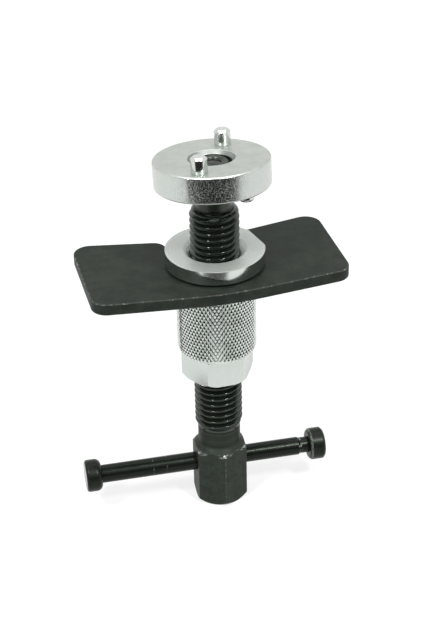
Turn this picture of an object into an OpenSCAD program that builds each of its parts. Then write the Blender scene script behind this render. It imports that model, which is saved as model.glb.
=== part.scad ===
// Brake caliper piston wind-back tool.
// A screw spindle with a hexagon head and a sliding tommy bar carries a flanged thrust nut.
// A slotted reaction plate hangs in the nut's groove, and a two-sided pin adaptor sits on the spindle's pilot.
// The tool stands on its hexagon head, with the origin at the centre of the head's foot.

/* [Spindle] */
// Outside diameter of the screw thread
thread_d = 18; // [14:0.5:22]
// Length of the threaded part
thread_len = 89.5; // [75:0.5:120]
// Depth of the plain undercut below the thread crest
undercut_depth = 0.95; // [0.5:0.05:2]
// Length of the plain undercut between head and thread
undercut_len = 7.6; // [4:0.2:15]
// How much wider across its flats the hexagon head is than the thread
head_over = 1; // [0:0.1:6]
// Height of the hexagon head
head_h = 25.6; // [20:0.2:36]
// How far the round foot of the head lies inside its flats
foot_in = 0.3; // [0.1:0.1:2]
// Diameter of the plain pilot above the thread
pilot_d = 12.6; // [9:0.2:13]
// Length of the pilot above the rounded thread end
pilot_len = 17.3; // [14:0.1:30]
// Height of the rounded end of the thread
shoulder_h = 3; // [1:0.1:4]
// Chamfer on the tip of the pilot
pilot_chamfer = 1; // [0.3:0.1:2]

/* [Pilot magnet] */
// Diameter of the magnet in the pilot tip
magnet_d = 6; // [3:0.5:8]
// Length of the magnet
magnet_len = 5; // [3:0.5:10]
// Depth of the magnet below the pilot tip
magnet_sink = 0.4; // [0:0.1:1]

/* [Tommy bar] */
// Diameter of the bar
bar_d = 7; // [5:0.1:9]
// Length over both end caps
bar_len = 94.2; // [78:0.2:140]
// How far the bar stands pushed through towards +X
bar_shift = -5.7; // [-12:0.1:12]
// Height of the bar axis above the foot
bar_z = 16.3; // [12:0.1:18]
// Diameter of the end caps
cap_d = 12.4; // [10.5:0.1:16]
// Length of an end cap
cap_len = 6.2; // [5:0.1:9]
// Depth of the blind socket in a cap
cap_socket = 4.8; // [3:0.1:4.8]
// Rounding of the inner rim of the left cap
cap_round = 2.3; // [0.5:0.1:2.4]
// Rounding of the outer rim of the left cap
cap_edge = 1.2; // [0.3:0.1:2.4]
// Chamfer on the rims of the right cap
cap_chamfer = 0.9; // [0.3:0.1:1.5]
// Diameter of the turned-down neck at the right end
neck_d = 6.2; // [4:0.1:6.6]
// Length of the neck that shows beside the right cap
neck_len = 3.6; // [1:0.1:6]

/* [Thrust nut] */
// Height of the lower end of the nut above the foot
nut_z = 56.7; // [50:0.1:64]
// Wall between the thread and the flats of the hexagon end
nut_wall = 3; // [2.6:0.1:5]
// Height of the hexagon end
nut_hex_h = 10.8; // [7:0.1:16]
// Chamfer on the corners at the lower end of the hexagon
nut_hex_chamfer = 1.4; // [0.5:0.1:2]
// Wall between the thread and the surface of the knurled grip
grip_wall = 5.7; // [5.2:0.1:8]
// Length of the grip with its end chamfer
grip_len = 30.65; // [25:0.05:38]
// Radial size of the chamfer at the lower end of the grip
grip_chamfer = 0.9; // [0.3:0.1:1.2]
// Length of the chamfer at the lower end of the grip
grip_chamfer_len = 1.55; // [0.3:0.05:3]
// Wall between the thread and the plate groove
groove_wall = 2.45; // [2:0.05:3]
// Wall between the thread and the rim of the thrust flange
flange_wall = 9.15; // [7.5:0.05:13]
// Thickness of the thrust flange
flange_h = 5.2; // [4:0.1:8]
// Width of the countersink at both ends of the nut
mouth_w = 2.3; // [0.5:0.1:2.4]
// Depth of the bevel on the rim of the flange, measured across the top face
bevel_in = 1.1; // [0.5:0.1:4]
// Depth of the bevel, measured down the rim
bevel_drop = 3.3; // [0.5:0.05:3.8]
// Direction of the bevel
bevel_turn = 14; // [-180:1:180]
// Direction of the first corner of the hexagon end
nut_turn = 3; // [0:1:59]

/* [Reaction plate] */
// Length of the plate
plate_len = 94.6; // [78:0.1:116]
// Thickness of the plate
plate_t = 4.4; // [3:0.1:6]
// Distance from the spindle axis to the tip of the front edge
plate_front = 25.1; // [20:0.1:32]
// Distance from the spindle axis to where the back edges would meet
plate_back = 16.7; // [13.5:0.1:24]
// Sweep of the front edges
sweep_front = 6.7; // [0:0.1:12]
// Sweep of the back edges
sweep_back = 11.2; // [0:0.1:14]
// Rounding of the outer corners
corner_r = 6; // [1:0.5:10]
// Rounding of the blunt tip of the front edge
front_r = 110; // [20:5:150]
// Rounding of the mouth of the slot
mouth_r = 5; // [1:0.5:6]
// How far the plate stands pushed sideways in the groove
plate_side = -1.05; // [-1.5:0.05:1.5]
// How far the plate stands pushed back in the groove
plate_push = 1.4; // [-1.5:0.05:1.5]
// How far the plate stands turned on the nut
plate_turn = 2; // [-180:1:180]

/* [Adaptor] */
// Diameter of the adaptor disc
disc_d = 41.9; // [39:0.1:54]
// Thickness of the adaptor disc
disc_t = 9.8; // [8:0.1:12]
// Chamfer on the rims of the disc
disc_chamfer = 0.6; // [0.2:0.1:1.5]
// Gap between the end of the thread and the middle of the lower face of the disc
disc_lift = 8.9; // [8:0.1:12]
// Lean of the disc on its loose pilot
disc_tilt = 6; // [0:0.1:7]
// Direction in which the disc leans
disc_tilt_dir = 95; // [-180:1:180]
// How far the disc stands to the left on its loose pilot
disc_side = 0.4; // [0:0.05:0.6]
// Depth of the countersinks at both ends of the bore
disc_mouth = 1.3; // [0.5:0.1:2]
// Diameter of the drive pins
pin_d = 6; // [4:0.2:6.6]
// Depth to which a pin is pressed into the disc
pin_seat = 6; // [3:0.1:6.6]
// How far the shoulder of a pin stands out over its pressed shank
pin_step = 0.5; // [0.2:0.1:1]
// Chamfer on the free end of a pin
pin_chamfer = 0.9; // [0.3:0.1:1.5]
// Height of the upper pins above the disc
upper_pin_h = 5.7; // [3:0.1:9]
// Pitch circle of the upper pins
upper_pcd = 29.5; // [27.5:0.5:31]
// Direction of the first upper pin
upper_turn = 62; // [-180:1:180]
// Height of the lower pins under the disc
lower_pin_h = 5.6; // [3:0.1:7]
// Pitch circle of the lower pins
lower_pcd = 24; // [23.5:0.5:30]
// Direction of the first lower pin
lower_turn = 152; // [-180:1:180]

/* [Fits] */
// Radial clearance of the nut on the thread
thread_play = 0.05; // [0.02:0.01:0.1]
// Radial clearance of the bar in the head
bar_play = 0.05; // [0.02:0.01:0.1]
// Smallest clearance between the leaning disc and the pilot
pilot_play = 0.15; // [0.1:0.05:0.5]
// Axial clearance of the plate in the groove
plate_play = 0.9; // [0.1:0.05:1.5]
// Gap between the plate and the shoulder under it
plate_rest = 0.05; // [0.02:0.01:0.1]
// Smallest side clearance of the plate slot on the groove
slot_play = 0.3; // [0.3:0.05:1]

/* [Hidden] */
$fn = 96;
// Overlap that lets cutters break cleanly through a face
eps = 0.5;
// Number of straight steps in one rounded corner of a profile
arc_steps = 10;

thread_r = thread_d / 2;
undercut_r = thread_r - undercut_depth;
pilot_r = pilot_d / 2;
head_af = thread_d + head_over;
head_corner_r = head_af / 2 / cos(30);
foot_r = head_af / 2 - foot_in;
thread_z0 = head_h + undercut_len;
thread_z1 = thread_z0 + thread_len;
shoulder_z = thread_z1 + shoulder_h;
pilot_z1 = shoulder_z + pilot_len;

bar_x0 = bar_shift - bar_len / 2;
bar_x1 = bar_shift + bar_len / 2;
bar_r = bar_d / 2;
neck_r = neck_d / 2;
cap_r = cap_d / 2;
cap_end = cap_len - cap_socket;

nut_bore_r = thread_r + thread_play;
nut_corner_r = (thread_r + nut_wall) / cos(30);
grip_r = thread_r + grip_wall;
grip_z0 = nut_z + nut_hex_h;
grip_z1 = grip_z0 + grip_len;
groove_r = thread_r + groove_wall;
groove_h = plate_t + plate_play;
flange_z0 = grip_z1 + groove_h;
flange_z1 = flange_z0 + flange_h;
flange_r = thread_r + flange_wall;

slot_r = groove_r + norm([plate_side, plate_push]) + slot_play;
plate_half = plate_len / 2;

disc_mid_z = shoulder_z + disc_lift + disc_t / 2 * cos(disc_tilt);
disc_bore_len = disc_t - 2 * disc_mouth;
disc_bore_r = (pilot_r + pilot_play + disc_bore_len / 2 * sin(disc_tilt)) / cos(disc_tilt) + disc_side;
pin_r = pin_d / 2;
pin_shank_r = pin_r - pin_step;

black_oxide = "#3a3f3b";
oiled_black = "#1d1f1e";
bright_zinc = "#c6ccc7";
magnet_grey = "#5d6163";

// Points of an elliptical arc around c, with half axes r[0] and r[1], from angle a0 to a1
function arc(c, r, a0, a1) =
    [for (i = [0:arc_steps]) let (a = a0 + (a1 - a0) * i / arc_steps) c + [r[0] * cos(a), r[1] * sin(a)]];

// Turn from direction a0 to a1 by the short way round
function short_turn(a0, a1) = (a1 - a0 + 540) % 360 - 180;

// Points that round corner b of the path a, b, c with radius r
function fillet(a, b, c, r) =
    let (
        u = (a - b) / norm(a - b),
        v = (c - b) / norm(c - b),
        half = acos(u * v) / 2,
        centre = b + (u + v) / norm(u + v) * r / sin(half),
        from = b + u * r / tan(half) - centre,
        to = b + v * r / tan(half) - centre,
        a0 = atan2(from[1], from[0])
    )
    arc(centre, [r, r], a0, a0 + short_turn(a0, atan2(to[1], to[0])));

// Hexagon bar with its first corner in direction turn
module hexagon(corner_r, h, turn) {
    rotate(turn) cylinder(r = corner_r, h = h, $fn = 6);
}

// Hexagon head, turned to a cone at the top and chamfered to a round foot
module head() {
    rim_r = head_corner_r + eps;
    intersection() {
        hexagon(head_corner_r, head_h, 30);
        rotate_extrude() polygon([
            [0, 0],
            [foot_r, 0],
            [rim_r, rim_r - foot_r],
            [rim_r, head_h - (rim_r - undercut_r)],
            [undercut_r, head_h],
            [0, head_h]
        ]);
    }
}

// Undercut, screw and pilot, turned in one setting
module shank() {
    rotate_extrude() polygon(concat(
        [
            [0, head_h - eps],
            [undercut_r, head_h - eps],
            [undercut_r, thread_z0],
            [thread_r, thread_z0 + undercut_depth]
        ],
        arc([pilot_r, thread_z1], [thread_r - pilot_r, shoulder_h], 0, 90),
        [
            [pilot_r, pilot_z1 - pilot_chamfer],
            [pilot_r - pilot_chamfer, pilot_z1],
            [0, pilot_z1]
        ]
    ));
}

module spindle() {
    color(oiled_black) difference() {
        union() {
            head();
            shank();
        }
        translate([0, 0, bar_z]) rotate([0, 90, 0])
            cylinder(r = bar_r + bar_play, h = head_af + 2 * eps, center = true);
        translate([0, 0, pilot_z1 - magnet_sink - magnet_len])
            cylinder(d = magnet_d, h = magnet_sink + magnet_len + eps);
    }
}

module pilot_magnet() {
    color(magnet_grey) translate([0, 0, pilot_z1 - magnet_sink - magnet_len])
        cylinder(d = magnet_d, h = magnet_len);
}

// Lays a shape turned about Z along the bar, with its base at x
module along_bar(x) {
    translate([x, 0, bar_z]) rotate([0, 90, 0]) children();
}

module tommy_bar() {
    body_len = bar_x1 - cap_len - neck_len - bar_x0 - cap_end;
    full_len = bar_len - 2 * cap_end;
    color(oiled_black) along_bar(bar_x0 + cap_end) rotate_extrude() polygon([
        [0, 0],
        [bar_r, 0],
        [bar_r, body_len - (bar_r - neck_r)],
        [neck_r, body_len],
        [neck_r, full_len],
        [0, full_len]
    ]);
}

// End cap with a rolled rim, closed at the outer end
module bar_cap_left() {
    rim = cap_r - cap_round;
    color(oiled_black) along_bar(bar_x0) rotate_extrude() polygon(concat(
        [[0, 0]],
        arc([cap_r - cap_edge, cap_edge], [cap_edge, cap_edge], -90, 0),
        arc([rim, cap_len - cap_round], [cap_round, cap_round], 0, 90),
        [[bar_r, cap_len], [bar_r, cap_end], [0, cap_end]]
    ));
}

// End cap with plain chamfered rims, closed at the outer end
module bar_cap_right() {
    color(oiled_black) along_bar(bar_x1 - cap_len) rotate_extrude() polygon([
        [neck_r, 0],
        [cap_r - cap_chamfer, 0],
        [cap_r, cap_chamfer],
        [cap_r, cap_len - cap_chamfer],
        [cap_r - cap_chamfer, cap_len],
        [0, cap_len],
        [0, cap_socket],
        [neck_r, cap_socket]
    ]);
}

// Half-space that grinds the oblique bevel on the rim of the flange
module bevel_cut() {
    lean = atan2(bevel_in, bevel_drop);
    translate([flange_r - bevel_in, 0, flange_z1]) rotate([0, -lean, 0])
        translate([0, -flange_r, -flange_r / 2]) cube([flange_r, 2 * flange_r, flange_r]);
}

// Hexagon end of the nut with a chamfered lower rim
module nut_hexagon() {
    rim_r = nut_corner_r + eps;
    start_r = nut_corner_r - nut_hex_chamfer;
    intersection() {
        translate([0, 0, nut_z]) hexagon(nut_corner_r, nut_hex_h + eps, nut_turn);
        translate([0, 0, nut_z]) rotate_extrude() polygon([
            [0, 0],
            [start_r, 0],
            [rim_r, rim_r - start_r],
            [rim_r, nut_hex_h + eps],
            [0, nut_hex_h + eps]
        ]);
    }
}

// Grip, plate groove and thrust flange, turned in one piece
module nut_body() {
    rotate_extrude() polygon([
        [0, grip_z0],
        [grip_r - grip_chamfer, grip_z0],
        [grip_r, grip_z0 + grip_chamfer_len],
        [grip_r, grip_z1],
        [groove_r, grip_z1],
        [groove_r, flange_z0],
        [flange_r, flange_z0],
        [flange_r, flange_z1],
        [0, flange_z1]
    ]);
}

// Thread bore of the nut with a countersink at each end
module nut_bore() {
    mouth = nut_bore_r + mouth_w;
    rotate_extrude() polygon([
        [0, nut_z - eps],
        [mouth + eps, nut_z - eps],
        [nut_bore_r, nut_z + mouth_w],
        [nut_bore_r, flange_z1 - mouth_w],
        [mouth + eps, flange_z1 + eps],
        [0, flange_z1 + eps]
    ]);
}

module thrust_nut() {
    color(bright_zinc) difference() {
        union() {
            nut_hexagon();
            nut_body();
        }
        nut_bore();
        rotate(bevel_turn) bevel_cut();
    }
}

// One half of the plate outline, from the front tip round to the wall of the slot
function wing_corners() =
    let (
        front_end = [plate_half, -plate_front + plate_half * tan(sweep_front)],
        back_end = [plate_half, plate_back + plate_half * tan(sweep_back)],
        lip = [slot_r, plate_back + slot_r * tan(sweep_back)],
        tip = [0, -plate_front]
    )
    concat(
        fillet(tip, front_end, back_end, corner_r),
        fillet(front_end, back_end, lip, corner_r),
        fillet(back_end, lip, [slot_r, 0], mouth_r),
        [[slot_r, 0]]
    );

module reaction_plate() {
    right = wing_corners();
    left = [for (i = [len(right) - 1:-1:0]) [-right[i][0], right[i][1]]];
    tip = [0, -plate_front];
    wing = [plate_half, -plate_front + plate_half * tan(sweep_front)];
    blunt = fillet([-wing[0], wing[1]], tip, wing, front_r);
    color(black_oxide) rotate(plate_turn) translate([plate_side, plate_push, grip_z1 + plate_rest]) difference() {
        linear_extrude(plate_t) polygon(concat(blunt, right, left));
        translate([0, 0, -eps]) cylinder(r = slot_r, h = plate_t + 2 * eps);
    }
}

// Places a shape on the leaning adaptor, with z = 0 halfway through the disc
module on_adaptor() {
    lean_axis = [-sin(disc_tilt_dir), cos(disc_tilt_dir), 0];
    translate([-disc_side, 0, disc_mid_z]) rotate(a = disc_tilt, v = lean_axis) children();
}

// Places a shape at pin number k of a pair, standing up from the upper face or down from the lower
module at_upper_pin(k) {
    rotate(upper_turn + 180 * k) translate([upper_pcd / 2, 0, disc_t / 2 - pin_seat]) children();
}

module at_lower_pin(k) {
    rotate(lower_turn + 180 * k) translate([lower_pcd / 2, 0, pin_seat - disc_t / 2]) mirror([0, 0, 1]) children();
}

// Hole that takes the shank of a pin
module pin_hole() {
    cylinder(r = pin_shank_r, h = pin_seat + eps);
}

// Drive pin with a pressed shank, a shoulder that sits on the disc and a chamfered free end
module drive_pin(h) {
    len = pin_seat + h;
    color(bright_zinc) rotate_extrude() polygon([
        [0, 0],
        [pin_shank_r, 0],
        [pin_shank_r, pin_seat],
        [pin_r, pin_seat],
        [pin_r, len - pin_chamfer],
        [pin_r - pin_chamfer, len],
        [0, len]
    ]);
}

module adaptor_disc() {
    r = disc_d / 2;
    top = disc_t / 2;
    color(bright_zinc) on_adaptor() difference() {
        rotate_extrude() polygon([
            [disc_bore_r, disc_mouth - top],
            [disc_bore_r + disc_mouth, -top],
            [r - disc_chamfer, -top],
            [r, disc_chamfer - top],
            [r, top - disc_chamfer],
            [r - disc_chamfer, top],
            [disc_bore_r + disc_mouth, top],
            [disc_bore_r, top - disc_mouth]
        ]);
        for (k = [0:1]) {
            at_upper_pin(k) pin_hole();
            at_lower_pin(k) pin_hole();
        }
    }
}

module upper_pin(k) {
    on_adaptor() at_upper_pin(k) drive_pin(upper_pin_h);
}

module lower_pin(k) {
    on_adaptor() at_lower_pin(k) drive_pin(lower_pin_h);
}

spindle();
pilot_magnet();
tommy_bar();
bar_cap_left();
bar_cap_right();
thrust_nut();
reaction_plate();
adaptor_disc();
upper_pin(0);  // upper_pin_1
upper_pin(1);  // upper_pin_2
lower_pin(0);  // lower_pin_1
lower_pin(1);  // lower_pin_2
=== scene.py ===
import math

import bmesh
import bpy
from bpy.props import FloatProperty, FloatVectorProperty, IntProperty, PointerProperty
from mathutils import Matrix, Vector


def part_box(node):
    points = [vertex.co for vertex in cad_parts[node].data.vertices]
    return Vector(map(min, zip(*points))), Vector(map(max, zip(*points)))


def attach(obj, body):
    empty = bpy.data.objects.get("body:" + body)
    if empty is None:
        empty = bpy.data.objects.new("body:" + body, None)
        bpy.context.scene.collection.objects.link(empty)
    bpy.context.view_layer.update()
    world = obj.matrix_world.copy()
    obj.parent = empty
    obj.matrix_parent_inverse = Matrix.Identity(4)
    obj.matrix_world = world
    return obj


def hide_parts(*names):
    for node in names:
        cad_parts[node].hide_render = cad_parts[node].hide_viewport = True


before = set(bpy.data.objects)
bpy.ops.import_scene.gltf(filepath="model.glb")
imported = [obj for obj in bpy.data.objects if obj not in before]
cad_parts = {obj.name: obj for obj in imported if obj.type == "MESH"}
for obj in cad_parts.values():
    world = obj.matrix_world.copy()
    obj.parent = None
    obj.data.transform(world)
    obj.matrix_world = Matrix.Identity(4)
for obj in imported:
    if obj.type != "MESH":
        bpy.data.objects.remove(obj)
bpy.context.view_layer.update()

bl_info = {
    "name": "Brake Piston Tool",
    "version": (1, 0, 0),
    "blender": (4, 5, 0),
    "location": "3D View > Sidebar > Piston Tool",
    "description": "Builds the pieces, finishes and stage of a screw-spindle brake piston tool",
    "category": "Object",
}

MM = 0.001
# Points nearer than this are one point
WELD = 1e-6
# The same on the seams of swept and rolled sheets
SEAM_WELD = 5e-6
# Points this near to a height lie at it
LEVEL = 0.01 * MM
# Faces of a CAD shape that meet at less than this angle are one flat face
FLAT_ANGLE = math.radians(0.3)
UP = (0, 0, 1)
WHITE = (1, 1, 1)
# Direction from the spindle's axis to the camera
FRONT = math.radians(-101.7)

# Tint of reflections on black oxide
OXIDE_TINT = (0.84, 1.0, 0.82)
# Share of bare steel in the rubbed rings of the bar and in the nicks at its shoulder
RING_BARE = 0.13
NICK_BARE = 0.5

TURNED_STEPS = 128
DISC_STEPS = 160
PIN_STEPS = 72
MAGNET_STEPS = 64
ARC_STEPS = 8

THREAD_STEPS = 96
# Half a thread from crest to root: share of the pitch along the axis, share of the depth
THREAD_HALF = ((0.0, 1.0), (0.06, 0.985), (0.115, 0.92), (0.36, 0.13), (0.41, 0.03), (0.5, 0.0))
# The sweep starts this many turns below the thread and has this many turns to spare
TURNS_BELOW = 1.6
TURNS_SPARE = 3
# Cuts through the rounded end of the thread, as shares of its height
END_CUTS = (0.2, 0.4, 0.55, 0.7, 0.8, 0.88, 0.94, 0.98)
# Length of neck that comes with the head from the CAD shape
NECK_STUB = 1.0 * MM

# Where the rubbed part of the right cap's chamfer begins, as a share of the chamfer
RUBBED_SHARE = 0.6
# Upright share of a face's normal on the inner chamfer of the right cap
CHAMFER_NORMALS = (-0.95, -0.2)

# Size of the half diamonds along the ends of the knurl, as a share of a whole one's
HALF_DIAMOND = 0.6
# The nut's plain ends are cut this far outside the grip, and reach into it with spigots
NUT_SPLIT = 0.02 * MM
HEXAGON_SPIGOT = 0.4 * MM
HEXAGON_SHRINK = 0.96
FLANGE_SPIGOT = 0.6 * MM

FLOOR_SIZE = 8.0
FLOOR_DROP = 0.02 * MM
FLOOR_GREY = (0.86, 0.86, 0.86)
# Share of plain white in the floor that the camera and reflections see
FLOOR_GLOW = 0.72
# Edges of the black card: distance in front of the spindle's axis, height
CARD_NEAR = (0.182, 0.002)
CARD_FAR = (0.62, 0.34)
CARD_WIDTH = 3.2
CARD_NEAR_SHARE = 0.05
CARD_BLACK = (0.015, 0.015, 0.015)
LAMP_TARGET = Vector((0, 0, 0.08))
BOX_TURN = math.radians(40)
BOX_DISTANCE = 0.66
BOX_HEIGHT = 0.86
BOX_SIZE = (0.11, 0.17)
TOP_PLACE = Vector((0, 0.1, 1.2))
TOP_SIZE = (1.3, 1.0)
SENSOR_WIDTH = 36.0
CLIP_NEAR, CLIP_FAR = 0.01, 20.0


def length(name, description, mm):
    """Length property whose default is given in millimetres."""
    return FloatProperty(
        name=name, description=description, default=mm * MM, subtype="DISTANCE", unit="LENGTH",
        precision=5)


def turn(name, description, degrees):
    """Angle property whose default is given in degrees."""
    return FloatProperty(
        name=name, description=description, default=math.radians(degrees), subtype="ANGLE",
        unit="ROTATION")


def colour(name, description, value):
    """Linear colour property."""
    return FloatVectorProperty(
        name=name, description=description, default=value, subtype="COLOR", size=3, min=0, max=1)


def number(name, description, value):
    """Whole number property."""
    return IntProperty(name=name, description=description, default=value, min=3)


def power(name, description, watts):
    """Lamp power property."""
    return FloatProperty(
        name=name, description=description, default=watts, subtype="POWER", unit="POWER")


class ScrewSizes(bpy.types.PropertyGroup):
    """Sizes of the screw spindle."""

    flats: length("Head flats", "Distance across the head's flats, past which it is rubbed", 19.0)
    head_top: length("Head top", "Height of the cone that ends the hexagon head", 25.6)
    neck_radius: length("Neck radius", "Radius of the plain neck between head and thread", 8.05)
    thread_start: length("Thread start", "Height at which the thread runs out into the neck", 33.2)
    thread_end: length("Thread end", "Height at which the thread's rounded end begins", 122.7)
    thread_radius: length("Crest radius", "Radius over the thread crests", 9.0)
    thread_depth: length("Thread depth", "Depth of the thread grooves", 1.5)
    pitch: length("Pitch", "Advance of the thread in one turn", 2.5)
    runout: length("Run-out", "Length over which the thread fades into the neck", 2.4)
    rounding: length("End rounding", "Height of the rounded end of the thread", 3.0)
    pilot_radius: length("Pilot radius", "Radius of the plain pilot", 6.3)
    pilot_chamfer: length("Pilot chamfer", "Chamfer on the tip of the pilot", 1.0)
    magnet_radius: length("Magnet radius", "Radius of the hole for the pilot magnet", 3.0)
    magnet_sink: length("Magnet sink", "Depth of the magnet below the tip", 0.4)
    magnet_length: length("Magnet length", "Length of the magnet", 5.0)
    magnet_edge: length("Magnet edge", "Rounding of the edges of the magnet", 0.25)
    edge: length("Edge rounding", "Rounding of the edges of the head", 0.22)


class BarSizes(bpy.types.PropertyGroup):
    """Sizes of the tommy bar and its end caps."""

    radius: length("Bar radius", "Radius of the bar", 3.5)
    neck_radius: length("Neck radius", "Radius of the neck beside the right cap", 3.1)
    neck_length: length("Neck length", "Length of the neck beside the right cap", 3.6)
    left_ring: length("Left ring", "Place of the left rubbed ring along the bar", -26.6)
    right_ring: length("Right ring", "Place of the right rubbed ring along the bar", -21.3)
    cap_radius: length("Cap radius", "Radius of both end caps", 6.2)
    cap_wall: length("Cap end wall", "Thickness of the closed end of a cap", 1.4)
    cap_round: length("Rolled rim", "Rounding of the inner rim of the left cap", 2.3)
    cap_edge: length("Outer rim", "Rounding of the outer rim of the left cap", 1.2)
    cap_chamfer: length("Cap chamfer", "Chamfer on the rims of the right cap", 0.9)
    edge: length("Edge rounding", "Rounding of turned edges", 0.18)


class NutSizes(bpy.types.PropertyGroup):
    """Sizes of the thrust nut."""

    grip_start: length("Grip start", "Height of the lower end of the knurled grip", 67.5)
    grip_end: length("Grip end", "Height of the shoulder under the reaction plate", 98.15)
    grip_radius: length("Grip radius", "Radius over the knurl", 14.7)
    grip_chamfer: length("Grip chamfer", "Radial size of the chamfer under the grip", 0.9)
    grip_chamfer_length: length("Chamfer length", "Length of the chamfer under the grip", 1.55)
    knurl_round: number("Knurls round", "Number of knurl diamonds round the grip", 64)
    knurl_rows: number("Knurl rows", "Number of knurl diamonds along the grip", 12)
    knurl_depth: length("Knurl depth", "Depth of the crossing knurl grooves", 0.46)
    knurl_slope: length("Knurl slope", "Width of the sloping sides of a knurl diamond", 0.5)
    core_radius: length("Core radius", "Radius of the relieved core behind the grip", 10.4)
    flange_radius: length("Flange radius", "Radius of the flange, near which it is smooth", 18.15)
    edge: length("Edge rounding", "Rounding of the edges of flange and hexagon", 0.16)


class PlateSizes(bpy.types.PropertyGroup):
    """Sizes of the reaction plate."""

    edge: length("Edge rounding", "Rounding of the sheared edges of the plate", 0.38)


class AdaptorSizes(bpy.types.PropertyGroup):
    """Sizes of the leaning two-sided adaptor."""

    tilt: turn("Lean", "Lean of the disc on its loose pilot", 6)
    tilt_direction: turn("Lean direction", "Direction in which the disc leans", 95)
    radius: length("Disc radius", "Radius of the disc", 20.95)
    thickness: length("Disc thickness", "Thickness of the disc", 9.8)
    chamfer: length("Disc chamfer", "Chamfer on the rims of the disc", 0.45)
    bore_radius: length("Bore radius", "Radius of the bore on the pilot", 7.264)
    mouth: length("Countersink", "Depth of the countersinks of the bore", 1.3)
    pin_radius: length("Pin radius", "Radius of the drive pins", 3.0)
    pin_chamfer: length("Pin chamfer", "Chamfer on the free end of a pin", 0.9)
    pin_seat: length("Pin seat", "Depth to which a pin is pressed into the disc", 6.0)
    pin_step: length("Pin step", "How far the shoulder of a pin stands out over its shank", 0.5)
    upper_height: length("Upper pin height", "Height of the upper pins", 5.7)
    upper_circle: length("Upper pitch radius", "Distance of the upper pins from the bore", 14.75)
    upper_turn: turn("Upper pin direction", "Direction of the first upper pin", 62)
    lower_height: length("Lower pin height", "Height of the lower pins", 5.6)
    lower_circle: length("Lower pitch radius", "Distance of the lower pins from the bore", 12.0)
    lower_turn: turn("Lower pin direction", "Direction of the first lower pin", 152)
    edge: length("Edge rounding", "Rounding of the chamfer edges", 0.16)


class Colours(bpy.types.PropertyGroup):
    """Colours of the finishes."""

    oiled_black: colour(
        "Oiled black", "Oiled black oxide of screw, pilot and bar", (0.0042, 0.0050, 0.0042))
    head_black: colour(
        "Head black", "Dry black oxide of the hexagon head", (0.0162, 0.0206, 0.0162))
    cap_black: colour("Cap black", "Glossy black of the end caps", (0.0050, 0.0056, 0.0048))
    plate_black: colour(
        "Plate black", "Matte black oxide of the reaction plate", (0.0135, 0.0175, 0.0135))
    bare_steel: colour("Bare steel", "Steel where the oxide is worn through", (0.42, 0.44, 0.42))
    nut_zinc: colour("Nut zinc", "Bright zinc of nut and disc rim", (0.61, 0.65, 0.615))
    disc_zinc: colour("Disc zinc", "Satin zinc of the adaptor disc", (0.47, 0.50, 0.47))
    pin_steel: colour("Pin steel", "Polished steel of the drive pins", (0.62, 0.65, 0.62))
    # Its grey also paints shade on the flange's top face and in the disc's countersinks
    magnet_grey: colour(
        "Magnet grey", "Nickel of the magnet, and the grey of dulled zinc", (0.055, 0.060, 0.056))


class StageSettings(bpy.types.PropertyGroup):
    """Camera and light of the stage."""

    camera_place: FloatVectorProperty(
        name="Camera place", description="Place of the camera", subtype="TRANSLATION",
        default=(-0.10273, -0.49608, 0.38293), unit="LENGTH", precision=5)
    camera_heading: turn("Camera heading", "Turn of the camera about the vertical", -11.45)
    camera_dip: turn("Camera dip", "Angle at which the camera looks down", 30.84)
    camera_roll: turn("Camera roll", "Turn of the camera about its view axis", -1.469)
    focal_px: FloatProperty(
        name="Focal length", description="Focal length in pixels of the picture", default=1600.0)
    picture_height: number("Picture height", "Long side of the picture in pixels", 631)
    box_power: power("Front boxes", "Power of a front softbox", 6.0)
    top_power: power("Top box", "Power of the overhead softbox", 7.0)
    sky_strength: FloatProperty(
        name="Sky", description="Strength of the even light from all round", default=0.6, min=0)


class ToolSettings(bpy.types.PropertyGroup):
    """All sizes, colours and stage values of the tool."""

    screw: PointerProperty(type=ScrewSizes)
    bar: PointerProperty(type=BarSizes)
    nut: PointerProperty(type=NutSizes)
    plate: PointerProperty(type=PlateSizes)
    adaptor: PointerProperty(type=AdaptorSizes)
    colours: PointerProperty(type=Colours)
    stage: PointerProperty(type=StageSettings)


def settings():
    """The tool's settings on the scene."""
    return bpy.context.scene.piston_tool


class Signal:
    """A shader socket that takes part in Python expressions on values."""

    def __init__(self, finish, socket):
        self.finish = finish
        self.socket = socket

    def _math(self, operation, *values):
        """Adds a Math node on values."""
        sockets = dict(enumerate(values))
        return self.finish.node("ShaderNodeMath", {"operation": operation}, sockets)

    def __add__(self, other):
        return self._math("ADD", self, other)

    __radd__ = __add__

    def __sub__(self, other):
        return self._math("SUBTRACT", self, other)

    def __rsub__(self, other):
        return self._math("SUBTRACT", other, self)

    def __mul__(self, other):
        return self._math("MULTIPLY", self, other)

    __rmul__ = __mul__

    def __truediv__(self, other):
        return self._math("DIVIDE", self, other)

    def __rtruediv__(self, other):
        return self._math("DIVIDE", other, self)

    def __pow__(self, other):
        return self._math("POWER", self, other)

    def __rpow__(self, other):
        return self._math("POWER", other, self)

    def __abs__(self):
        return self._math("ABSOLUTE", self)

    def larger(self, other):
        """The larger of two values."""
        return self._math("MAXIMUM", self, other)

    def rise(self, low, high):
        """Smooth step from 0 at low to 1 at high; a low above high gives a fall."""
        falls = low > high
        return self.finish.node("ShaderNodeMapRange", {"interpolation_type": "SMOOTHSTEP"}, {
            0: self, 1: min(low, high), 2: max(low, high), 3: float(falls), 4: float(not falls)})

    def near(self, centre, core, edge):
        """1 within a core distance of a centre, falling to 0 at an edge distance."""
        return abs(self - centre).rise(edge, core)


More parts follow.
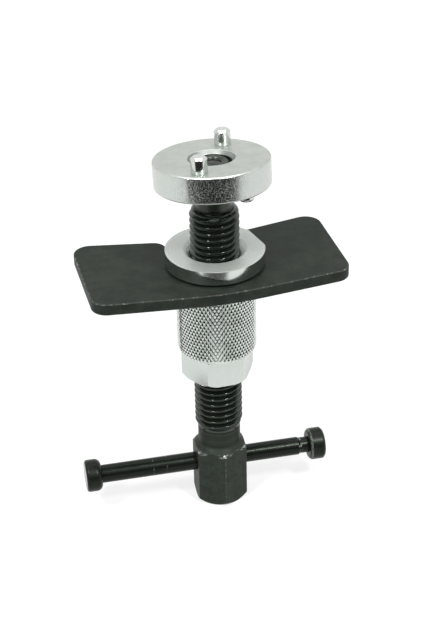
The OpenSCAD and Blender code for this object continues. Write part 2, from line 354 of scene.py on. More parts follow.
class Finish:
    """Node tree of one material, or of the world."""

    def __init__(self, owner):
        owner.use_nodes = True
        self.owner = owner
        self.tree = owner.node_tree
        self.tree.nodes.clear()

    def node(self, kind, settings=None, sockets=None, output=0):
        """Adds a node, sets it up, fills its sockets and returns one output as a Signal."""
        made = self.tree.nodes.new(kind)
        for name, value in (settings or {}).items():
            setattr(made, name, value)
        for name, value in (sockets or {}).items():
            socket = made.inputs[name]
            if isinstance(value, Signal):
                self.tree.links.new(value.socket, socket)
            elif socket.type == "RGBA":
                socket.default_value = (*value, 1.0)
            else:
                socket.default_value = value
        return Signal(self, made.outputs[output]) if made.outputs else None

    def place(self, lean=None):
        """Object coordinates, or coordinates in the frame of a leaning piece."""
        here = self.node("ShaderNodeTexCoord", output="Object")
        if lean is None:
            return here
        return self.node("ShaderNodeMapping", {"vector_type": "TEXTURE"}, {
            "Vector": here, "Location": lean.to_translation(), "Rotation": lean.to_euler("XYZ")})

    def axes(self, place):
        """The three coordinates of a place as values."""
        split = self.node("ShaderNodeSeparateXYZ", None, {0: place})
        return [Signal(self, socket) for socket in split.socket.node.outputs]

    def grain(self, place, size, detail=3.0, roughness=0.55):
        """Noise whose features have about the given size in metres."""
        return self.node("ShaderNodeTexNoise", {"noise_dimensions": "3D"}, {
            "Vector": place, "Scale": 1.0 / size, "Detail": detail, "Roughness": roughness})

    def lines(self, value, size, detail=2.0):
        """Noise along one value, for turned or drawn lines."""
        return self.node("ShaderNodeTexNoise", {"noise_dimensions": "1D"}, {
            "W": value / size, "Scale": 1.0, "Detail": detail, "Roughness": 0.6})

    def blend(self, factor, first, second):
        """Mix of two colours."""
        colours = {0: factor, 6: first, 7: second}
        return self.node("ShaderNodeMix", {"data_type": "RGBA"}, colours, output=2)

    def bump(self, height, distance):
        """Normal bent by a height that is given as a share of a distance in metres."""
        return self.node("ShaderNodeBump", None, {
            "Height": height, "Distance": distance, "Strength": 1.0})

    def show(self, shader, kind="Material"):
        """Puts a shader on the output and returns the finished material or world."""
        self.node("ShaderNodeOutput" + kind, None, {"Surface": shader})
        return self.owner

    def surface(self, sockets):
        """Puts a principled surface on the output and returns the finished material."""
        return self.show(self.node("ShaderNodeBsdfPrincipled", None, sockets))


def new_finish(name):
    """The empty node tree of a new material."""
    return Finish(bpy.data.materials.new(name))


def shades(base, spread, lift=1.0):
    """A darker and a lighter shade of a colour."""
    shares = (lift * (1.0 - spread), lift * (1.0 + spread))
    return [tuple(min(1.0, part * share) for part in base) for share in shares]


def off_axis(x, y):
    """Distance from an axis, of values."""
    return (x * x + y * y) ** 0.5


def oiled_black_finish(colours, name, rough, shine, rings=None, shoulder=None, satin_above=None):
    """Oiled black oxide, near black, with faint turning lines and a broken film of oil.

    The bar has two rubbed rings and nicks of bare steel at its shoulder. The screw is satin
    above a height.
    """
    f = new_finish(name)
    place = f.place()
    x, _, z = f.axes(place)
    film = f.grain(place, size=4 * MM)
    speck = f.grain(place, size=0.5 * MM)
    turning = f.lines(x if rings else z, size=0.22 * MM)
    base = f.blend(film, *shades(colours.oiled_black, spread=0.45))
    rough = film * 0.1 + speck * 0.06 + rough
    if rings:
        left, right = [x.near(centre, core=0.08 * MM, edge=0.3 * MM) for centre in rings]
        broken = f.grain(place, size=1.3 * MM).rise(0.45, 0.62)
        nicked = f.grain(place, size=1.1 * MM).rise(0.57, 0.64)
        nicks = x.near(shoulder, core=0.5 * MM, edge=1.2 * MM) * nicked
        bare = left.larger(right) * broken * RING_BARE + nicks * NICK_BARE
        base = f.blend(bare, base, colours.bare_steel)
    if satin_above is not None:
        satin = z.rise(satin_above, satin_above + 0.3 * MM)
        rough = rough + satin * 0.2
        base = f.blend(satin * 0.005, base, colours.bare_steel)
    return f.surface({
        "Base Color": base,
        "Roughness": rough,
        "Specular IOR Level": shine,
        "Specular Tint": OXIDE_TINT,
        "Normal": f.bump(turning * 0.4 + speck * 0.6, distance=0.018 * MM),
    })


def head_black_finish(colours, sizes):
    """Dry black oxide on the milled head, with turned bands round its neck.

    Steel shows on the corners of the head's cone.
    """
    f = new_finish("head_black")
    place = f.place()
    x, y, z = f.axes(place)
    top = sizes.head_top
    flat = sizes.flats / 2
    mottle = f.grain(place, size=3 * MM)
    speck = f.grain(place, size=0.7 * MM)
    neck = z.rise(top - 0.3 * MM, top + 0.1 * MM)
    turning = f.lines(z, size=0.3 * MM)
    bands = f.lines(z, size=0.75 * MM, detail=3.0).rise(0.36, 0.62)
    mottled = (mottle * 0.5 + speck * 0.5).rise(0.3, 0.7) * (1 - neck) + bands * neck
    corner = off_axis(x, y).rise(flat + 0.05 * MM, flat + 0.8 * MM)
    cone = z.rise(top - 3.2 * MM, top - 2.2 * MM) * z.rise(top - 0.2 * MM, top - 0.9 * MM)
    wear = corner * cone * f.grain(place, size=1.1 * MM).rise(0.40, 0.62)
    dry = f.blend(mottled, *shades(colours.head_black, spread=0.4))
    black = f.blend(neck * 0.25, dry, colours.oiled_black)
    return f.surface({
        "Base Color": f.blend(wear * 0.9, black, colours.bare_steel),
        "Metallic": wear * 0.8,
        "Roughness": 0.42 + speck * 0.12 - wear * 0.15,
        "Specular IOR Level": 0.16,
        "Specular Tint": OXIDE_TINT,
        "Normal": f.bump(speck * (1 - neck) * 2 + turning * neck * 1.5, distance=0.02 * MM),
    })


def plate_black_finish(colours, name, worn):
    """Matte black oxide; worn is the share of bare steel in the specks of a rubbed edge."""
    f = new_finish(name)
    place = f.place()
    mottle = f.grain(place, size=5 * MM, detail=4.0)
    speck = f.grain(place, size=0.45 * MM)
    base = f.blend(mottle.rise(0.3, 0.7), *shades(colours.plate_black, spread=0.25))
    rough = 0.42 + mottle * 0.12 + speck * 0.06
    if worn:
        specks = f.grain(place, size=1.3 * MM, detail=4.0, roughness=0.7).rise(0.54, 0.66)
        base = f.blend(specks * worn + 0.04, base, colours.bare_steel)
        rough = rough - specks * 0.15
    return f.surface({
        "Base Color": base,
        "Roughness": rough,
        "Specular IOR Level": 0.12,
        "Normal": f.bump(speck * 0.7 + mottle * 0.3, distance=0.02 * MM),
    })


def cap_black_finish(colours, name, end=None, rim=None):
    """Glossy black of the end caps, smoother on an end face or rubbed bright along a rim.

    The end is a place along the bar. The rim is the height of the bar's axis and a radius.
    """
    f = new_finish(name)
    place = f.place()
    x, y, z = f.axes(place)
    film = f.grain(place, size=2.5 * MM)
    speck = f.grain(place, size=0.4 * MM)
    base = f.blend(film, *shades(colours.cap_black, spread=0.4))
    rough = film * 0.12 + speck * 0.06 + 0.24
    metal = 0.0
    if end is not None:
        rough = rough - x.rise(end + 0.3 * MM, end + 0.05 * MM) * 0.2
    if rim is not None:
        axis, radius = rim
        outer = off_axis(y, z - axis).rise(radius - 0.15 * MM, radius + 0.15 * MM)
        rubbed = f.grain(place, size=1.6 * MM, detail=4.0, roughness=0.7).rise(0.34, 0.54) * outer
        base = f.blend(rubbed * 0.25, base, colours.bare_steel)
        metal = rubbed * 0.4
    return f.surface({
        "Base Color": base,
        "Metallic": metal,
        "Roughness": rough,
        "Specular IOR Level": 0.18,
        "Specular Tint": OXIDE_TINT,
        "Normal": f.bump(speck, distance=0.008 * MM),
    })


def nut_zinc_finish(colours, sizes, top):
    """Bright zinc of the nut, with a turned face on the flange that is rougher and darkened by
    painted shade, and a smoother rim.
    """
    f = new_finish("nut_zinc")
    place = f.place()
    x, y, z = f.axes(place)
    across = off_axis(x, y)
    edge = sizes.flange_radius
    flange = z.rise(sizes.grip_end + 3 * MM, sizes.grip_end + 3.5 * MM)
    rim = flange * across.rise(edge - 0.35 * MM, edge - 0.05 * MM)
    # Painted shade: the flange's top face is blended towards grey and made less metallic, darker
    # than the rest of the nut
    face = z.rise(top - 0.25 * MM, top - 0.12 * MM)
    cloud = f.grain(place, size=3 * MM)
    speck = f.grain(place, size=0.3 * MM)
    lines = f.lines(across, size=0.32 * MM, detail=4.0)
    inside = flange - rim
    base = f.blend(cloud * 0.7 + lines * flange * 0.3, *shades(colours.nut_zinc, spread=0.08))
    return f.surface({
        "Base Color": f.blend(face * 0.25, base, colours.magnet_grey),
        "Metallic": 1 - face * 0.5,
        "Roughness": 0.24 + cloud * 0.08 + speck * 0.05 + inside * 0.06 - rim * 0.15,
        "Normal": f.bump(lines * inside * 14.0 + speck * (1 - rim) * 0.25, distance=0.016 * MM),
    })


def knurl_zinc_finish(colours):
    """Bright zinc on the facets of the knurl, made duller here and there by handling."""
    f = new_finish("knurl_zinc")
    place = f.place()
    cloud = f.grain(place, size=2.5 * MM)
    speck = f.grain(place, size=0.25 * MM)
    dark, light = shades(colours.nut_zinc, spread=0.12, lift=1.14)
    return f.surface({
        "Base Color": f.blend(cloud.rise(0.3, 0.7), dark, light),
        "Metallic": 1.0,
        "Roughness": 0.11 + cloud * 0.1 + speck * 0.06,
        "Normal": f.bump(speck, distance=0.004 * MM),
    })


def disc_zinc_finish(colours, sizes, lean):
    """Satin zinc of the disc, with a sparkling grain on its rim and painted shade in its
    countersinks.
    """
    f = new_finish("disc_zinc")
    place = f.place(lean)
    x, y, _ = f.axes(place)
    across = off_axis(x, y)
    rim = across.rise(sizes.radius - 0.4 * MM, sizes.radius - 0.1 * MM)
    mouth = sizes.bore_radius + sizes.mouth
    cloud = f.grain(place, size=4 * MM, detail=4.0).rise(0.3, 0.7)
    speck = f.grain(place, size=0.6 * MM)
    pits = f.grain(place, size=0.34 * MM, detail=2.0).rise(0.5, 0.72)
    lines = f.lines(across, size=0.3 * MM)
    satin = f.blend(cloud * 0.6 + speck * 0.4, *shades(colours.disc_zinc, spread=0.1))
    base = f.blend(rim * 0.7, satin, colours.nut_zinc)
    # Painted shade: the countersinks are blended halfway towards grey, so they show darker than
    # their reflection would
    shaded = across.rise(mouth, mouth - 0.15 * MM) * 0.5
    grain = pits * rim + speck * (1 - rim * 0.4) * 0.6 + lines * 0.3
    return f.surface({
        "Base Color": f.blend(shaded, base, colours.magnet_grey),
        "Metallic": 1.0,
        "Roughness": 0.34 + cloud * 0.08 - rim * 0.17,
        "Normal": f.bump(grain, distance=0.03 * MM),
    })


def polished_finish(name, base, lean=None):
    """Polished or nickel steel with a faint haze."""
    f = new_finish(name)
    place = f.place(lean)
    haze = f.grain(place, size=1.5 * MM)
    speck = f.grain(place, size=0.3 * MM)
    return f.surface({
        "Base Color": f.blend(haze, *shades(base, spread=0.08)),
        "Metallic": 1.0,
        "Roughness": 0.12 + haze * 0.1,
        "Normal": f.bump(speck, distance=0.006 * MM),
    })


def weld(bm, reach=WELD):
    """Makes points within a reach of each other one point."""
    bmesh.ops.remove_doubles(bm, verts=bm.verts, dist=reach)


def face_out(bm):
    """Turns the faces of a bmesh outwards."""
    bmesh.ops.recalc_face_normals(bm, faces=bm.faces)


def turned(profile, steps=TURNED_STEPS, closed=False):
    """Spins a profile of (radius, height) points about Z and returns the shell as a bmesh."""
    bm = bmesh.new()
    verts = [bm.verts.new((radius, 0.0, height)) for radius, height in profile]
    ends = verts[1:] + verts[:1] if closed else verts[1:]
    edges = [bm.edges.new(pair) for pair in zip(verts, ends)]
    bmesh.ops.spin(
        bm, geom=verts + edges, cent=(0, 0, 0), axis=UP, angle=2 * math.pi, steps=steps,
        use_merge=True)
    weld(bm)
    face_out(bm)
    return bm


def arc(centre, radius, start, stop):
    """Points of a round corner of a profile, with angles in degrees."""
    step = (stop - start) / ARC_STEPS
    angles = [math.radians(start + step * k) for k in range(ARC_STEPS + 1)]
    return [(centre[0] + radius * math.cos(a), centre[1] + radius * math.sin(a)) for a in angles]


def soften(bm, width, least_degrees=25, segments=2):
    """Rounds the edges whose faces meet at more than an angle and returns the new faces."""
    least = math.radians(least_degrees)
    sharp = [e for e in bm.edges if len(e.link_faces) == 2 and e.calc_face_angle(0.0) > least]
    made = bmesh.ops.bevel(
        bm, geom=sharp, offset=width, offset_type="OFFSET", segments=segments, profile=0.5,
        affect="EDGES", clamp_overlap=True, material=-1)
    return made["faces"]


def cad_copy(node):
    """A welded copy of a CAD node's mesh with its flat faces in one piece."""
    bm = bmesh.new()
    bm.from_mesh(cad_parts[node].data)
    weld(bm)
    bmesh.ops.dissolve_limit(bm, angle_limit=FLAT_ANGLE, verts=bm.verts, edges=bm.edges)
    return bm


def cut(bm, point, normal=UP, above=True, below=True):
    """Cuts a bmesh at a plane and keeps what is above it, below it or both."""
    bmesh.ops.bisect_plane(
        bm, geom=bm.verts[:] + bm.edges[:] + bm.faces[:], dist=WELD, plane_co=point,
        plane_no=normal, clear_outer=not above, clear_inner=not below)


def open_edges(bm, height):
    """Open edges of a bmesh that lie at a height."""
    return [
        e for e in bm.edges
        if len(e.link_faces) == 1 and all(abs(v.co.z - height) < LEVEL for v in e.verts)
    ]


def grow(bm, edges, height, scale=1.0):
    """Extrudes a ring of open edges to a height, scaled about Z, and returns the new ring."""
    made = bmesh.ops.extrude_edge_only(bm, edges=edges)["geom"]
    verts = [g for g in made if isinstance(g, bmesh.types.BMVert)]
    for v in verts:
        v.co = (v.co.x * scale, v.co.y * scale, height)
    found = set(verts)
    return [g for g in made if isinstance(g, bmesh.types.BMEdge) and found.issuperset(g.verts)]


def join(bm, other):
    """Adds another bmesh to a bmesh and frees it."""
    mesh = bpy.data.meshes.new("joined")
    other.to_mesh(mesh)
    other.free()
    bm.from_mesh(mesh)
    bpy.data.meshes.remove(mesh)


def new_object(name, data):
    """A new object in the scene."""
    made = bpy.data.objects.new(name, data)
    bpy.context.scene.collection.objects.link(made)
    return made


def put(name, bm, finishes, body, nodes, smooth_degrees=30, facets=None):
    """Makes a finished piece of a bmesh, in place of CAD nodes and on a CAD body.

    The finish with the index given as facets keeps flat facets.
    """
    mesh = bpy.data.meshes.new(name)
    bm.to_mesh(mesh)
    bm.free()
    mesh.set_sharp_from_angle(angle=math.radians(smooth_degrees))
    for face in mesh.polygons:
        face.use_smooth = face.material_index != facets
    piece = new_object(name, mesh)
    for finish in finishes:
        mesh.materials.append(finish)
    if facets is None:
        weights = piece.modifiers.new("face_weights", "WEIGHTED_NORMAL")
        weights.keep_sharp = True
    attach(piece, body)
    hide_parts(*nodes)


def thread_profile(sizes):
    """One pitch of the thread from root to root, as (radius, height) points."""
    root = sizes.thread_radius - sizes.thread_depth
    shares = [(-share, up) for share, up in reversed(THREAD_HALF)] + list(THREAD_HALF[1:])
    return [(root + sizes.thread_depth * up, share * sizes.pitch) for share, up in shares]


def screw_shell(sizes):
    """The thread as a helical sweep, faded into the neck below and rounded at its end."""
    top = sizes.thread_end + sizes.rounding
    low = sizes.thread_start - TURNS_BELOW * sizes.pitch
    wanted_turns = math.ceil((top - sizes.thread_start) / sizes.pitch) + TURNS_SPARE
    bm = bmesh.new()
    profile = thread_profile(sizes)
    verts = [bm.verts.new((radius, 0.0, low + height)) for radius, height in profile]
    edges = [bm.edges.new(pair) for pair in zip(verts, verts[1:])]
    bmesh.ops.spin(
        bm, geom=verts + edges, cent=(0, 0, 0), axis=UP, dvec=(0, 0, sizes.pitch / THREAD_STEPS),
        angle=2 * math.pi, steps=THREAD_STEPS, use_merge=False)
    turns = 1
    while turns < wanted_turns:
        more = bmesh.ops.duplicate(bm, geom=bm.verts[:] + bm.edges[:] + bm.faces[:])["geom"]
        fresh = [g for g in more if isinstance(g, bmesh.types.BMVert)]
        bmesh.ops.translate(bm, vec=(0, 0, turns * sizes.pitch), verts=fresh)
        turns *= 2
    cut(bm, (0, 0, low + (wanted_turns + 1) * sizes.pitch), above=False)
    weld(bm, SEAM_WELD)
    cut(bm, (0, 0, sizes.thread_start), below=False)
    cut(bm, (0, 0, top), above=False)
    for share in END_CUTS:
        cut(bm, (0, 0, sizes.thread_end + share * sizes.rounding))
    for v in bm.verts:
        radius = math.hypot(v.co.x, v.co.y)
        shown = min(1.0, (v.co.z - sizes.thread_start) / sizes.runout)
        fade = shown * shown * (3 - 2 * shown)
        wanted = sizes.neck_radius + (radius - sizes.neck_radius) * fade
        above = max(0.0, (v.co.z - sizes.thread_end) / sizes.rounding)
        if above > 0:
            ball = math.sqrt(max(0.0, 1 - above * above))
            step = sizes.thread_radius - sizes.pilot_radius
            wanted = min(wanted, sizes.pilot_radius + step * ball)
        v.co.x *= wanted / radius
        v.co.y *= wanted / radius
    face_out(bm)
    return bm


class PISTON_TOOL_OT_spindle(bpy.types.Operator):
    """Builds the screw spindle with its hexagon head, thread and pilot"""

    bl_idname = "piston_tool.spindle"
    bl_label = "Screw spindle"

    def execute(self, context):
        s = settings().screw
        colours = settings().colours
        on_screw, on_head, on_edge = range(3)
        pilot_foot = s.thread_end + s.rounding
        pilot_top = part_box("spindle")[1].z
        tip = s.pilot_radius - s.pilot_chamfer
        bm = screw_shell(s)
        ring = open_edges(bm, pilot_foot)
        ring = grow(bm, ring, pilot_top - s.pilot_chamfer)
        ring = grow(bm, ring, pilot_top, tip / s.pilot_radius)
        ring = grow(bm, ring, pilot_top, s.magnet_radius / tip)
        ring = grow(bm, ring, pilot_top - s.magnet_sink - s.magnet_length)
        bmesh.ops.holes_fill(bm, edges=ring, sides=0)
        head = cad_copy("spindle")
        joint = s.head_top + NECK_STUB
        cut(head, (0, 0, joint), above=False)
        for face in soften(head, s.edge, least_degrees=20):
            if math.hypot(*face.calc_center_median().xy) > s.thread_radius:
                face.material_index = on_edge
        join(bm, head)
        neck = open_edges(bm, s.thread_start) + open_edges(bm, joint)
        bmesh.ops.bridge_loops(bm, edges=neck)
        face_out(bm)
        for face in bm.faces:
            if face.calc_center_median().z > s.thread_start:
                face.material_index = on_screw
            elif face.material_index != on_edge:
                face.material_index = on_head
        finishes = [
            oiled_black_finish(
                colours, "screw_black", rough=0.05, shine=0.62, satin_above=pilot_foot),
            head_black_finish(colours, s),
            plate_black_finish(colours, "head_edge", worn=0.16),
        ]
        put("screw_spindle", bm, finishes, "spindle", ["spindle"],
            smooth_degrees=38)
        return {"FINISHED"}


class PISTON_TOOL_OT_magnet(bpy.types.Operator):
    """Builds the magnet in the tip of the pilot"""

    bl_idname = "piston_tool.magnet"
    bl_label = "Pilot magnet"

    def execute(self, context):
        low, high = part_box("pilot_magnet")
        radius = (high.x - low.x) / 2
        profile = [(0, low.z), (radius, low.z), (radius, high.z), (0, high.z)]
        bm = turned(profile, MAGNET_STEPS)
        soften(bm, settings().screw.magnet_edge)
        finish = polished_finish("magnet_nickel", settings().colours.magnet_grey)
        put("magnet", bm, [finish], "spindle", ["pilot_magnet"])
        return {"FINISHED"}


def lay_along_bar(bm, x, height):
    """Lays a shape turned about Z along the tommy bar with its base at x."""
    matrix = Matrix.Translation((x, 0, height)) @ Matrix.Rotation(math.pi / 2, 4, "Y")
    bmesh.ops.transform(bm, matrix=matrix, verts=bm.verts)


class PISTON_TOOL_OT_bar(bpy.types.Operator):
    """Builds the sliding tommy bar with its turned-down neck"""

    bl_idname = "piston_tool.bar"
    bl_label = "Tommy bar"

    def execute(self, context):
        s = settings().bar
        low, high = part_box("tommy_bar")
        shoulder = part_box("bar_cap_right")[0].x - s.neck_length - low.x
        end = high.x - low.x
        bm = turned([
            (0, 0), (s.radius, 0), (s.radius, shoulder - (s.radius - s.neck_radius)),
            (s.neck_radius, shoulder), (s.neck_radius, end), (0, end)])
        soften(bm, s.edge)
        lay_along_bar(bm, low.x, (low.z + high.z) / 2)
        finish = oiled_black_finish(
            settings().colours, "bar_black", rough=0.17, shine=0.17,
            rings=(s.left_ring, s.right_ring), shoulder=low.x + shoulder)
        put("tommy_bar_turned", bm, [finish], "bar", ["tommy_bar"])
        return {"FINISHED"}


class PISTON_TOOL_OT_caps(bpy.types.Operator):
    """Builds the rolled left cap and the chamfered right cap of the tommy bar"""

    bl_idname = "piston_tool.caps"
    bl_label = "Bar end caps"

    def execute(self, context):
        s = settings().bar
        colours = settings().colours
        low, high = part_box("bar_cap_left")
        height = (low.z + high.z) / 2
        finish = cap_black_finish(colours, "cap_black", end=low.x)
        rubbed_rim = (height, s.cap_radius - RUBBED_SHARE * s.cap_chamfer)
        worn = cap_black_finish(colours, "cap_rubbed", rim=rubbed_rim)
        tall = high.x - low.x
        profile = [(0, 0)]
        profile += arc((s.cap_radius - s.cap_edge, s.cap_edge), s.cap_edge, -90, 0)
        profile += arc((s.cap_radius - s.cap_round, tall - s.cap_round), s.cap_round, 0, 90)
        profile += [(s.radius, tall), (s.radius, s.cap_wall), (0, s.cap_wall)]
        left = turned(profile)
        lay_along_bar(left, low.x, height)
        put("left_cap", left, [finish], "bar", ["bar_cap_left"])
        low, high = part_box("bar_cap_right")
        tall = high.x - low.x
        rim = s.cap_radius - s.cap_chamfer
        right = turned([
            (s.neck_radius, 0), (rim, 0), (s.cap_radius, s.cap_chamfer),
            (s.cap_radius, tall - s.cap_chamfer), (rim, tall), (0, tall),
            (0, tall - s.cap_wall), (s.neck_radius, tall - s.cap_wall)], closed=True)
        soften(right, s.edge)
        steep, level = CHAMFER_NORMALS
        for face in right.faces:
            outside = math.hypot(*face.calc_center_median().xy) > rim
            face.material_index = 1 if outside and steep < face.normal.z < level else 0
        lay_along_bar(right, low.x, height)
        put("right_cap", right, [finish, worn], "bar", ["bar_cap_right"])
        return {"FINISHED"}


def knurl_sleeve(s):
    """The grip as a closed sleeve with a diamond knurl rolled from a flat sheet of diamonds."""
    around = 2 * math.pi * s.grip_radius
    tall = s.grip_end - s.grip_start
    bm = bmesh.new()
    bmesh.ops.create_grid(bm, x_segments=s.knurl_round, y_segments=s.knurl_rows, size=0.5)
    bmesh.ops.translate(bm, vec=(0.5, 0.5, 0), verts=bm.verts)
    bmesh.ops.scale(bm, vec=(around, tall, 1), verts=bm.verts)
    sides = bm.edges[:]
    bmesh.ops.poke(bm, faces=bm.faces)
    sides = [e for e in sides if len(e.link_faces) == 2]
    bmesh.ops.dissolve_edges(bm, edges=sides, use_verts=False)
    face_out(bm)
    whole = [face for face in bm.faces if len(face.verts) == 4]
    halves = [face for face in bm.faces if len(face.verts) == 3]
    if sum(face.normal.z for face in whole) < 0:
        bmesh.ops.reverse_faces(bm, faces=bm.faces)
    for faces, share in ((whole, 1.0), (halves, HALF_DIAMOND)):
        bmesh.ops.inset_individual(
            bm, faces=faces, thickness=share * s.knurl_slope, depth=share * s.knurl_depth,
            use_even_offset=True)
    cut(bm, (0, s.grip_chamfer_length, 0), normal=(0, 1, 0))
    for v in bm.verts:
        angle = v.co.x / s.grip_radius
        drop = s.grip_chamfer * max(0.0, 1 - v.co.y / s.grip_chamfer_length)
        radius = s.grip_radius - s.knurl_depth - drop + v.co.z
        v.co = (radius * math.cos(angle), radius * math.sin(angle), s.grip_start + v.co.y)
    weld(bm, SEAM_WELD)
    rings = []
    for height, radius in ((s.grip_start, s.grip_radius - s.grip_chamfer - s.knurl_depth),
                           (s.grip_end, s.grip_radius - s.knurl_depth)):
        rings += grow(bm, open_edges(bm, height), height, s.core_radius / radius)
    bmesh.ops.bridge_loops(bm, edges=rings)
    face_out(bm)
    return bm


def nut_end(s, height, reach, shrink=1.0, **kept):
    """One plain end of the nut from the CAD shape, closed by a spigot inside the grip."""
    bm = cad_copy("thrust_nut")
    cut(bm, (0, 0, height), **kept)
    soften(bm, s.edge, least_degrees=22)
    rings = open_edges(bm, height)
    outer = [e for e in rings if math.hypot(*e.verts[0].co.xy) > s.core_radius]
    inner = [e for e in rings if math.hypot(*e.verts[0].co.xy) <= s.core_radius]
    tops = grow(bm, outer, reach, shrink) + grow(bm, inner, reach)
    bmesh.ops.bridge_loops(bm, edges=tops)
    face_out(bm)
    return bm


class PISTON_TOOL_OT_nut(bpy.types.Operator):
    """Builds the thrust nut with its hexagon end, knurled grip, plate groove and bevelled flange"""

    bl_idname = "piston_tool.nut"
    bl_label = "Thrust nut"

    def execute(self, context):
        s = settings().nut
        colours = settings().colours
        on_knurl = 1
        bm = knurl_sleeve(s)
        for face in bm.faces:
            face.material_index = on_knurl
        join(bm, nut_end(s, s.grip_start - NUT_SPLIT, s.grip_start + HEXAGON_SPIGOT,
                         HEXAGON_SHRINK, above=False))
        join(bm, nut_end(s, s.grip_end + NUT_SPLIT, s.grip_end - FLANGE_SPIGOT, below=False))
        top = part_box("thrust_nut")[1].z
        finishes = [nut_zinc_finish(colours, s, top), knurl_zinc_finish(colours)]
        put("knurled_nut", bm, finishes, "nut", ["thrust_nut"],
            smooth_degrees=18, facets=on_knurl)
        return {"FINISHED"}


class PISTON_TOOL_OT_plate(bpy.types.Operator):
    """Builds the reaction plate with rounded, worn edges"""

    bl_idname = "piston_tool.plate"
    bl_label = "Reaction plate"

    def execute(self, context):
        colours = settings().colours
        bm = cad_copy("reaction_plate")
        for face in soften(bm, settings().plate.edge, least_degrees=50, segments=3):
            face.material_index = 1
        finishes = [
            plate_black_finish(colours, "plate_black", worn=0.0),
            plate_black_finish(colours, "plate_edge", worn=0.3),
        ]
        put("plate", bm, finishes, "plate", ["reaction_plate"])
        return {"FINISHED"}


def adaptor_frame(s):
    """Matrix of the leaning adaptor, with its origin halfway through the disc."""
    low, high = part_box("adaptor_disc")
    axis = Vector((-math.sin(s.tilt_direction), math.cos(s.tilt_direction), 0))
    return Matrix.Translation((low + high) / 2) @ Matrix.Rotation(s.tilt, 4, axis)


class PISTON_TOOL_OT_disc(bpy.types.Operator):
    """Builds the adaptor disc with its countersunk bore"""

    bl_idname = "piston_tool.disc"
    bl_label = "Adaptor disc"

    def execute(self, context):
        s = settings().adaptor
        top = s.thickness / 2
        mouth = s.bore_radius + s.mouth
        rim = s.radius - s.chamfer
        bm = turned([
            (s.bore_radius, s.mouth - top), (mouth, -top), (rim, -top),
            (s.radius, s.chamfer - top), (s.radius, top - s.chamfer), (rim, top),
            (mouth, top), (s.bore_radius, top - s.mouth)], DISC_STEPS, closed=True)
        soften(bm, s.edge)
        lean = adaptor_frame(s)
        bmesh.ops.transform(bm, matrix=lean, verts=bm.verts)
        finish = disc_zinc_finish(settings().colours, s, lean)
        put("disc", bm, [finish], "adaptor", ["adaptor_disc"])
        return {"FINISHED"}


class PISTON_TOOL_OT_pins(bpy.types.Operator):
    """Builds the two pairs of drive pins of the adaptor"""

    bl_idname = "piston_tool.pins"
    bl_label = "Drive pins"

    def execute(self, context):
        s = settings().adaptor
        lean = adaptor_frame(s)
        finish = polished_finish("pin_steel", settings().colours.pin_steel, lean)
        shank = s.pin_radius - s.pin_step
        tip = s.pin_radius - s.pin_chamfer
        pairs = (("upper", s.upper_height, s.upper_circle, s.upper_turn, 0.0),
                 ("lower", s.lower_height, s.lower_circle, s.lower_turn, math.pi))
        for side, height, circle, start, flip in pairs:
            face = Matrix.Rotation(flip, 4, "X") @ Matrix.Translation((0, 0, s.thickness / 2))
            for k in range(2):
                bm = turned([
                    (0, -s.pin_seat), (shank, -s.pin_seat), (shank, 0), (s.pin_radius, 0),
                    (s.pin_radius, height - s.pin_chamfer), (tip, height), (0, height)], PIN_STEPS)
                soften(bm, s.edge)
                angle = start + k * math.pi
                spot = Vector((circle * math.cos(angle), circle * math.sin(angle), 0))
                stand = lean @ Matrix.Translation(spot) @ face
                bmesh.ops.transform(bm, matrix=stand, verts=bm.verts)
                name = "%s_drive_pin_%d" % (side, k + 1)
                node = "%s_pin_%d" % (side, k + 1)
                put(name, bm, [finish], "adaptor", [node])
        return {"FINISHED"}


def card(name, width, tall, matrix, near_share=1.0):
    """A flat card on the stage, placed by a matrix; its near edge is a share of its width."""
    bm = bmesh.new()
    bmesh.ops.create_grid(bm, x_segments=1, y_segments=1, size=0.5)
    bmesh.ops.scale(bm, vec=(width, tall, 1), verts=bm.verts)
    near = [v for v in bm.verts if v.co.y < 0]
    bmesh.ops.scale(bm, vec=(near_share, 1, 1), verts=near)
    bmesh.ops.transform(bm, matrix=matrix, verts=bm.verts)
    mesh = bpy.data.meshes.new(name)
    bm.to_mesh(mesh)
    bm.free()
    made = new_object(name, mesh)
    return made


def white_to_camera(f):
    """1 for rays that show the background: from the camera, a reflection or through glass."""
    path = f.node("ShaderNodeLightPath").socket.node.outputs
    camera, glossy, through = [
        Signal(f, path["Is %s Ray" % kind]) for kind in ("Camera", "Glossy", "Transmission")]
    return camera.larger(glossy).larger(through)


def rise_of(near, far):
    """Matrix of a card that rises from a near edge to a far edge."""
    up = (far - near).normalized()
    side = up.cross(Vector(UP)).normalized()
    turned_axes = Matrix((side, up, side.cross(up))).transposed().to_4x4()
    return Matrix.Translation((near + far) / 2) @ turned_axes


def lay_floor():
    """Lays a pale floor that shows white to the camera and keeps the tool's shadow."""
    floor = card("floor", FLOOR_SIZE, FLOOR_SIZE, Matrix.Translation((0, 0, -FLOOR_DROP)))
    f = new_finish("floor_white")
    diffuse = f.node("ShaderNodeBsdfDiffuse", None, {"Color": FLOOR_GREY})
    glow = f.node("ShaderNodeEmission", None, {"Color": WHITE, "Strength": 1.0})
    share = white_to_camera(f) * FLOOR_GLOW
    shown = f.node("ShaderNodeMixShader", None, {0: share, 1: diffuse, 2: glow})
    floor.data.materials.append(f.show(shown))


def light_sky(scene, strength):
    """Lights the scene evenly from all round, with a world that shows white to the camera."""
    f = Finish(bpy.data.worlds.new("studio"))
    shown = strength + white_to_camera(f) * (1 - strength)
    sky = f.node("ShaderNodeBackground", None, {"Color": WHITE, "Strength": shown})
    scene.world = f.show(sky, "World")


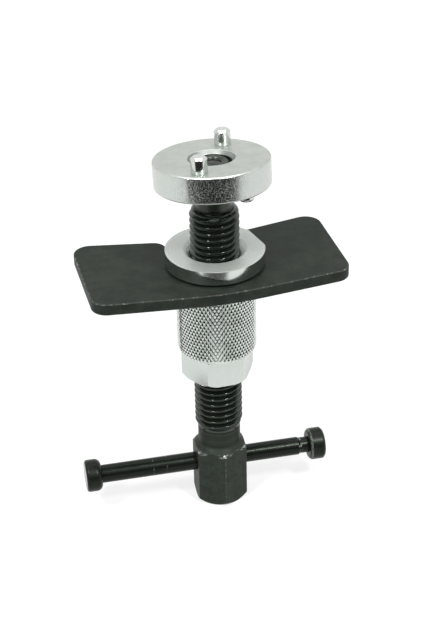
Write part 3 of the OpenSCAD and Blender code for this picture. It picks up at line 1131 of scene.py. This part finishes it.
def stand_black_card():
    """Stands a black card in front of the tool, for the dark bands in its bright metal."""
    front = Vector((math.cos(FRONT), math.sin(FRONT), 0))
    near, far = [front * away + Vector((0, 0, up)) for away, up in (CARD_NEAR, CARD_FAR)]
    tall = (far - near).length
    flag = card("black_card", CARD_WIDTH, tall, rise_of(near, far), CARD_NEAR_SHARE)
    f = new_finish("card_black")
    dark = f.node("ShaderNodeBsdfDiffuse", None, {"Color": CARD_BLACK})
    flag.data.materials.append(f.show(dark))
    flag.visible_camera = flag.visible_shadow = flag.visible_diffuse = False


def hang_softbox(name, place, size, watts):
    """Hangs a rectangular area lamp that faces the tool."""
    lamp = bpy.data.lights.new(name, "AREA")
    lamp.shape = "RECTANGLE"
    lamp.size, lamp.size_y = size
    lamp.energy = watts
    aim = (LAMP_TARGET - place).to_track_quat("-Z", "Y").to_matrix().to_4x4()
    new_object(name, lamp).matrix_world = Matrix.Translation(place) @ aim


def set_camera(scene, s):
    """Sets up the camera at the photograph's place."""
    camera = bpy.data.cameras.new("camera")
    camera.sensor_width = SENSOR_WIDTH
    camera.lens = s.focal_px / s.picture_height * SENSOR_WIDTH
    camera.clip_start, camera.clip_end = CLIP_NEAR, CLIP_FAR
    made = new_object("camera", camera)
    made.matrix_world = (
        Matrix.Translation(s.camera_place) @ Matrix.Rotation(s.camera_heading, 4, "Z")
        @ Matrix.Rotation(math.pi / 2 - s.camera_dip, 4, "X")
        @ Matrix.Rotation(s.camera_roll, 4, "Z"))
    scene.camera = made


class PISTON_TOOL_OT_stage(bpy.types.Operator):
    """Builds the pale floor, the soft studio light and the camera"""

    bl_idname = "piston_tool.stage"
    bl_label = "Stage"

    def execute(self, context):
        s = settings().stage
        scene = context.scene
        scene.view_settings.view_transform = "Standard"
        lay_floor()
        light_sky(scene, s.sky_strength)
        stand_black_card()
        for name, angle in (("left_box", FRONT - BOX_TURN), ("right_box", FRONT + BOX_TURN)):
            place = Vector((
                math.cos(angle) * BOX_DISTANCE, math.sin(angle) * BOX_DISTANCE, BOX_HEIGHT))
            hang_softbox(name, place, BOX_SIZE, s.box_power)
        hang_softbox("top_box", TOP_PLACE, TOP_SIZE, s.top_power)
        set_camera(scene, s)
        return {"FINISHED"}


OPERATORS = (
    PISTON_TOOL_OT_stage,
    PISTON_TOOL_OT_spindle,
    PISTON_TOOL_OT_magnet,
    PISTON_TOOL_OT_bar,
    PISTON_TOOL_OT_caps,
    PISTON_TOOL_OT_nut,
    PISTON_TOOL_OT_plate,
    PISTON_TOOL_OT_disc,
    PISTON_TOOL_OT_pins,
)


class PISTON_TOOL_PT_panel(bpy.types.Panel):
    """Lists the pieces of the piston tool"""

    bl_idname = "PISTON_TOOL_PT_panel"
    bl_label = "Piston Tool"
    bl_space_type = "VIEW_3D"
    bl_region_type = "UI"
    bl_category = "Piston Tool"

    def draw(self, context):
        for operator in OPERATORS:
            self.layout.operator(operator.bl_idname)


CLASSES = (
    ScrewSizes, BarSizes, NutSizes, PlateSizes, AdaptorSizes, Colours, StageSettings, ToolSettings,
    *OPERATORS, PISTON_TOOL_PT_panel,
)


def register():
    """Registers the classes and puts the settings on the scene."""
    for item in CLASSES:
        bpy.utils.register_class(item)
    bpy.types.Scene.piston_tool = PointerProperty(type=ToolSettings)


def unregister():
    """Takes the settings off the scene and unregisters the classes."""
    del bpy.types.Scene.piston_tool
    for item in reversed(CLASSES):
        bpy.utils.unregister_class(item)


def main():
    """Builds the stage and the pieces in order."""
    register()
    for operator in OPERATORS:
        getattr(bpy.ops.piston_tool, operator.bl_idname.split(".")[1])()


if __name__ == "__main__":
    main()
